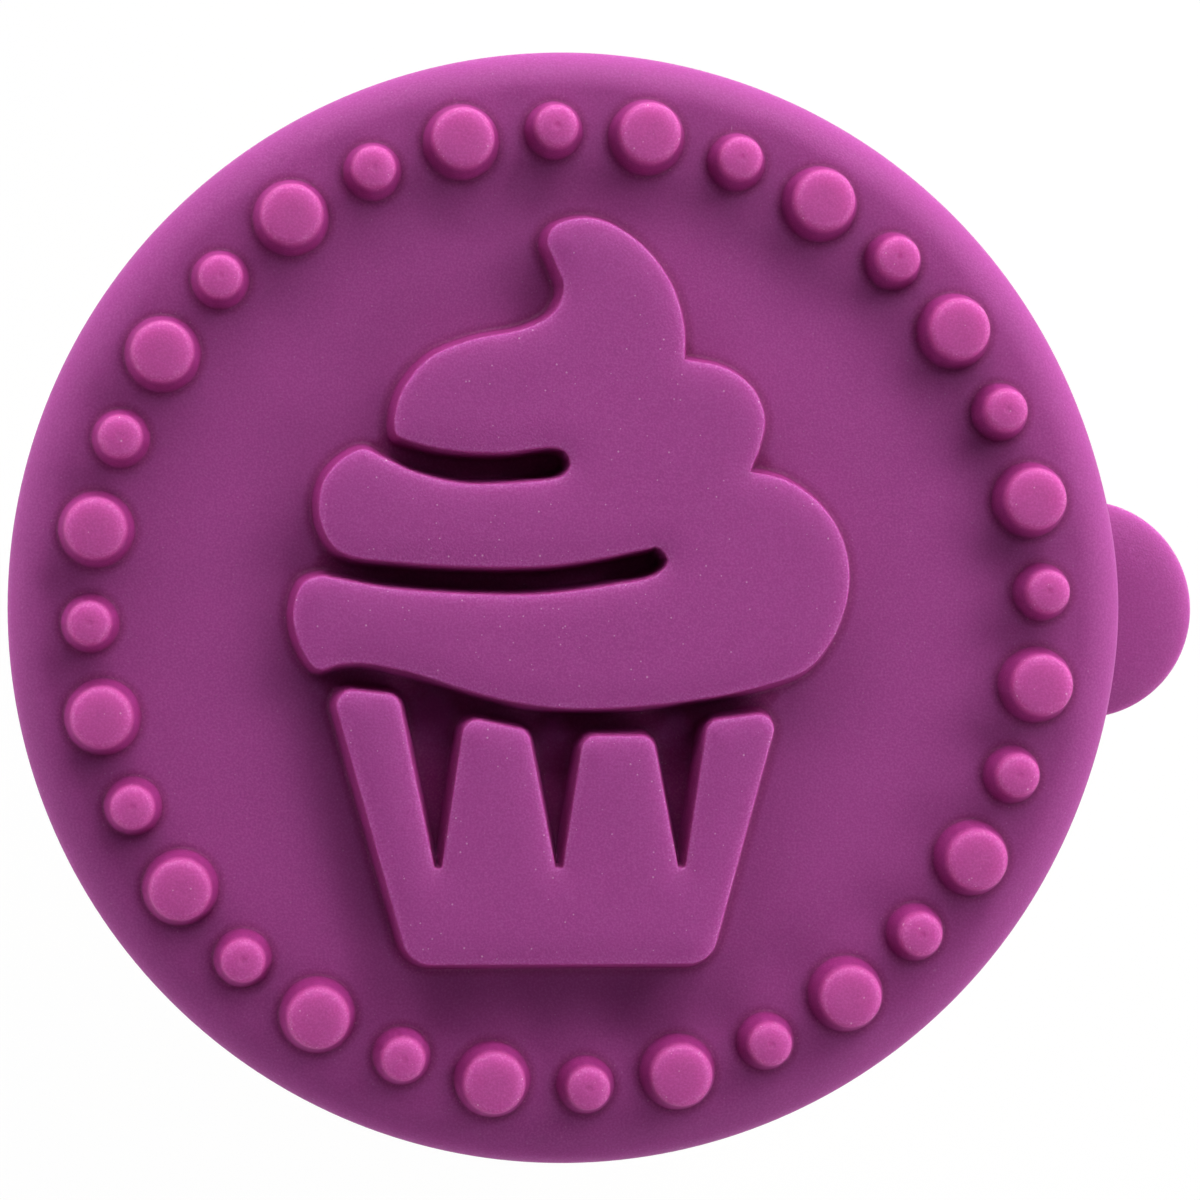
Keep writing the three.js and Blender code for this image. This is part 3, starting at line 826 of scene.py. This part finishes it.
def siliconeMaterial():
    look = siliconeLook
    material, tree, shader, place = newMaterial("purple silicone")
    noise = useGroup(tree, mottle, Place=place, Cloud_Size=look["cloudSize"], Grain_Size=look["grainSize"])
    fine = useGroup(tree, dust, Place=place, **look["fineDust"])
    coarse = useGroup(tree, dust, Place=place, **look["coarseDust"])
    lintPlace = addNode(tree, "Mapping")  # specks drawn out into short fibres
    feed(tree, lintPlace, Vector=place, Rotation=(0, 0, 0.7), Scale=(1, 0.12, 1))
    lint = useGroup(tree, dust, Place=lintPlace.outputs[0], **look["fibres"])
    height = addNode(tree, "SeparateXYZ")
    feed(tree, height, Vector=place)
    raised = ramp(tree, height.outputs["Z"], *((faceZ + rise) * mm for rise in look["dustRise"]))
    studTop = addNode(tree, "Attribute", attribute_name="studTop").outputs["Fac"]
    edge = addNode(tree, "Attribute", attribute_name="edge").outputs["Fac"]
    # painted light: the stud tops are made lighter
    paintedTopLight = maths(tree, "MULTIPLY", studTop, look["studLight"])
    # painted shade: walls, their feet and the slots take the darker, redder colour
    deep = addNode(tree, "Attribute", attribute_name="deep").outputs["Fac"]
    colour = mixColour(tree, deep, shade(*look["colour"]), shade(*look["deep"]))
    colour = mixColour(tree, paintedTopLight, colour, shade(*look["light"]))
    shift = maths(tree, "ADD", maths(tree, "MULTIPLY", noise["Cloud"], look["cloud"]),
                  maths(tree, "MULTIPLY", noise["Grain"], look["grain"]))
    level = maths(tree, "ADD", shift, 1 - 0.5 * (look["cloud"] + look["grain"]))
    tint = addNode(tree, "CombineColor")
    feed(tree, tint, Red=level, Green=level, Blue=level)
    colour = mixColour(tree, 1.0, colour, tint.outputs[0], "MULTIPLY")
    # dust and painted sheen: a pale band along the upper edges and a fainter haze all over, in the fine grain
    dustAndSheen = maths(tree, "ADD", maths(tree, "MULTIPLY", edge, look["dustAndSheen"]), look["haze"])
    dustAndSheen = maths(tree, "MULTIPLY", dustAndSheen, ramp(tree, noise["Grain"], 0.4, 0.8))
    colour = mixColour(tree, dustAndSheen, colour, shade(*look["dust"]))
    # dust: most of it lies on the raised tops
    specks = maths(tree, "MAXIMUM", fine["Mask"], coarse["Mask"])
    lying = maths(tree, "MULTIPLY", raised, 1 - look["dustBelow"])
    specks = maths(tree, "MULTIPLY", specks, maths(tree, "ADD", lying, look["dustBelow"]))
    specks = maths(tree, "MAXIMUM", maths(tree, "MULTIPLY", specks, look["specks"]),
                   maths(tree, "MULTIPLY", lint["Mask"], look["lint"]))
    caught = maths(tree, "MULTIPLY", maths(tree, "MULTIPLY", fine["Mask"], edge), look["edgeDust"])
    specks = maths(tree, "MAXIMUM", specks, caught)
    colour = mixColour(tree, specks, colour, shade(*look["dust"]))
    bump = addNode(tree, "Bump")
    feed(tree, bump, Height=noise["Grain"], Strength=look["bump"], Distance=0.0001)
    rough = maths(tree, "ADD", maths(tree, "MULTIPLY", noise["Cloud"], 0.1), look["rough"] - 0.05)
    feed(tree, shader, Base_Color=colour, Roughness=rough, Normal=bump.outputs[0],
         Specular_IOR_Level=look["shine"], Subsurface_Weight=look["scatter"],
         Subsurface_Radius=(1, 1, 1), Subsurface_Scale=look["scatterDepth"])
    return material


# oiled beech, with the grain along the handle and across the head

beechLook = {
    "early": (206, 164, 118),
    "late": (182, 135, 92),
    "fleck": (136, 92, 58),
    "speck": (110, 74, 46),
    "bump": 0.25,
}


def beechMaterial(name, turn):
    look = beechLook
    material, tree, shader, place = newMaterial(name)
    mapping = addNode(tree, "Mapping")
    feed(tree, mapping, Vector=place, Rotation=turn)
    wood = useGroup(tree, grain, Place=mapping.outputs[0], Early=shade(*look["early"]),
                    Late=shade(*look["late"]), Fleck=shade(*look["fleck"]))
    specks = useGroup(tree, dust, Place=place, Spacing=0.004, Speck=0.03, Share=0.3)
    spotted = maths(tree, "MULTIPLY", specks["Mask"], 0.5)
    colour = mixColour(tree, spotted, wood["Colour"], shade(*look["speck"]))
    bump = addNode(tree, "Bump")
    feed(tree, bump, Height=wood["Height"], Strength=look["bump"], Distance=0.0002)
    feed(tree, shader, Base_Color=colour, Roughness=wood["Roughness"], Normal=bump.outputs[0])
    return material


# steel of the screw

steelLook = {"colour": (196, 197, 200), "dull": (150, 150, 154), "rough": 0.3}


def steelMaterial():
    look = steelLook
    material, tree, shader, place = newMaterial("screw steel")
    noise = useGroup(tree, mottle, Place=place, Cloud_Size=0.0025, Grain_Size=0.0003)
    dulled = ramp(tree, noise["Cloud"], 0.35, 0.75)
    colour = mixColour(tree, dulled, shade(*look["colour"]), shade(*look["dull"]))
    rough = maths(tree, "ADD", maths(tree, "MULTIPLY", noise["Grain"], 0.2), look["rough"] - 0.1)
    feed(tree, shader, Base_Color=colour, Roughness=rough, Metallic=1.0)
    return material


silicone = siliconeMaterial()
finishes = [
    (pad, silicone, "silicone", "stamp_pad"), (tab, silicone, "silicone", "pull_tab"),
    (handle, beechMaterial("beech along", (0, 0, 0.4)), "beech", "handle_grip"),
    (head, beechMaterial("beech across", (0, math.pi / 2, 0.2)), "beech", "head_disc"),
    (screw, steelMaterial(), "screw_steel", "handle_screw"),
]
for piece, material, slot, node in finishes:
    piece.data.materials.clear()
    piece.data.materials.append(material)
    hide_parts(node)
for piece, body in ((pad, "pad"), (handle, "holder"), (head, "holder"), (screw, "holder")):
    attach(piece, body)
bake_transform(tab)
print("stage: materials given, pieces riding")


# white table, soft lights from low around, and the camera of the photo

stageLook = {
    "table": (0.9, 0.9, 0.9, 1),
    "reach": 30,            # metres to the pale walls around
    "walls": 15,            # their height, so that low views don't see past them
    "glow": 0.97,           # of the table away from the object, which leaves a trace of the shadow
    "shadow": (20, 36),     # from the foot's middle: full within the first, fading out to the second
    "sky": 0.02,
}
lights = {
    "behind": {"azimuth": 88, "height": 28, "distance": 0.6, "size": (0.5, 0.2), "power": 2.36},
    "cornerLeft": {"azimuth": 138, "height": 28, "distance": 0.6, "size": (0.4, 0.2), "power": 0.77},
    "cornerRight": {"azimuth": 45, "height": 32, "distance": 0.42, "size": (0.35, 0.18), "power": 1.25},
    "behindLow": {"azimuth": 90, "height": 5, "distance": 0.6, "size": (0.5, 0.16), "power": 1.12},
    "right": {"azimuth": 0, "height": 9, "distance": 0.6, "size": (0.5, 0.18), "power": 0.89},
    "cornerFront": {"azimuth": -45, "height": 29, "distance": 0.6, "size": (0.5, 0.2), "power": 1.53},
    "left": {"azimuth": 180, "height": 5, "distance": 0.6, "size": (0.5, 0.14), "power": 1.33},
    "front": {"azimuth": 225, "height": 14, "distance": 0.6, "size": (0.5, 0.2), "power": 0.51},
}
cameraView = {
    "lens": 144.36,              # on a sensor this wide, both in millimetres
    "sensor": 36,
    "distance": 279.36,          # to the face of the pad
    "leanX": -0.16,              # degrees off the upright
    "leanY": 4.57,
    "shift": (0.02567, 0.00625),
}


def addTable():
    mesh = bpy.data.meshes.new("table")
    reach = stageLook["reach"]
    corners = ((-reach, -reach), (reach, -reach), (reach, reach), (-reach, reach))
    walls = [(k, (k + 1) % 4, (k + 1) % 4 + 4, k + 4) for k in range(4)]
    points = [(x, y, z) for z in (0, stageLook["walls"]) for x, y in corners]
    mesh.from_pydata(points, [], [(0, 1, 2, 3), *walls])
    table = bpy.data.objects.new("table", mesh)
    bpy.context.scene.collection.objects.link(table)
    material, tree, shader, place = newMaterial("white table")
    feed(tree, shader, Base_Color=stageLook["table"], Roughness=0.8)
    # seen directly or mirrored it is nearly white, but keeps the shadow round the foot
    fromFoot = addNode(tree, "VectorMath", operation="LENGTH")
    feed(tree, fromFoot, _0=place)
    away = ramp(tree, fromFoot.outputs["Value"], *(edge * mm for edge in stageLook["shadow"]))
    path = addNode(tree, "LightPath").outputs
    indirect = maths(tree, "MAXIMUM", path["Is Glossy Ray"], path["Is Transmission Ray"])
    seen = maths(tree, "MAXIMUM", path["Is Camera Ray"], indirect)
    glow = addNode(tree, "Emission")
    mix = addNode(tree, "MixShader")
    share = maths(tree, "MULTIPLY", maths(tree, "MULTIPLY", seen, away), stageLook["glow"])
    feed(tree, mix, _0=share, _1=shader.outputs[0], _2=glow.outputs[0])
    tree.links.new(mix.outputs[0], tree.nodes["Material Output"].inputs["Surface"])
    mesh.materials.append(material)


def addLight(name, azimuth, height, distance, size, power):
    lamp = bpy.data.lights.new(name, "AREA")
    lamp.shape = "RECTANGLE"
    lamp.size, lamp.size_y = size
    lamp.energy = power
    light = bpy.data.objects.new(name, lamp)
    a, e = math.radians(azimuth), math.radians(height)
    toLight = Vector((math.cos(e) * math.cos(a), math.cos(e) * math.sin(a), math.sin(e)))
    light.location = Vector((0, 0, faceZ * mm)) + toLight * distance
    light.rotation_euler = toLight.to_track_quat("Z", "Y").to_euler()
    bpy.context.scene.collection.objects.link(light)


def addCamera():
    v = cameraView
    data = bpy.data.cameras.new("photo view")
    data.sensor_width, data.lens, data.clip_start = v["sensor"], v["lens"], 0.01
    data.shift_x, data.shift_y = v["shift"]
    camera = bpy.data.objects.new("photo view", data)
    leanX, leanY = math.radians(v["leanX"]), math.radians(v["leanY"])
    turn = Matrix.Rotation(leanX, 3, "X") @ Matrix.Rotation(leanY, 3, "Y")
    turn.transpose()
    place = Vector((0, 0, faceZ * mm)) + turn @ Vector((0, 0, v["distance"] * mm))
    camera.matrix_world = Matrix.Translation(place) @ turn.to_4x4()
    bpy.context.scene.collection.objects.link(camera)
    bpy.context.scene.camera = camera


addTable()
for name, setting in lights.items():
    addLight(name, **setting)
world = bpy.data.worlds.new("studio")
bpy.context.scene.world = world
world.use_nodes = True
feed(world.node_tree, world.node_tree.nodes["Background"], Color=(1, 1, 1, 1), Strength=stageLook["sky"])
addCamera()
bpy.context.scene.view_settings.view_transform = "Standard"
print("stage: table, lights and camera set")
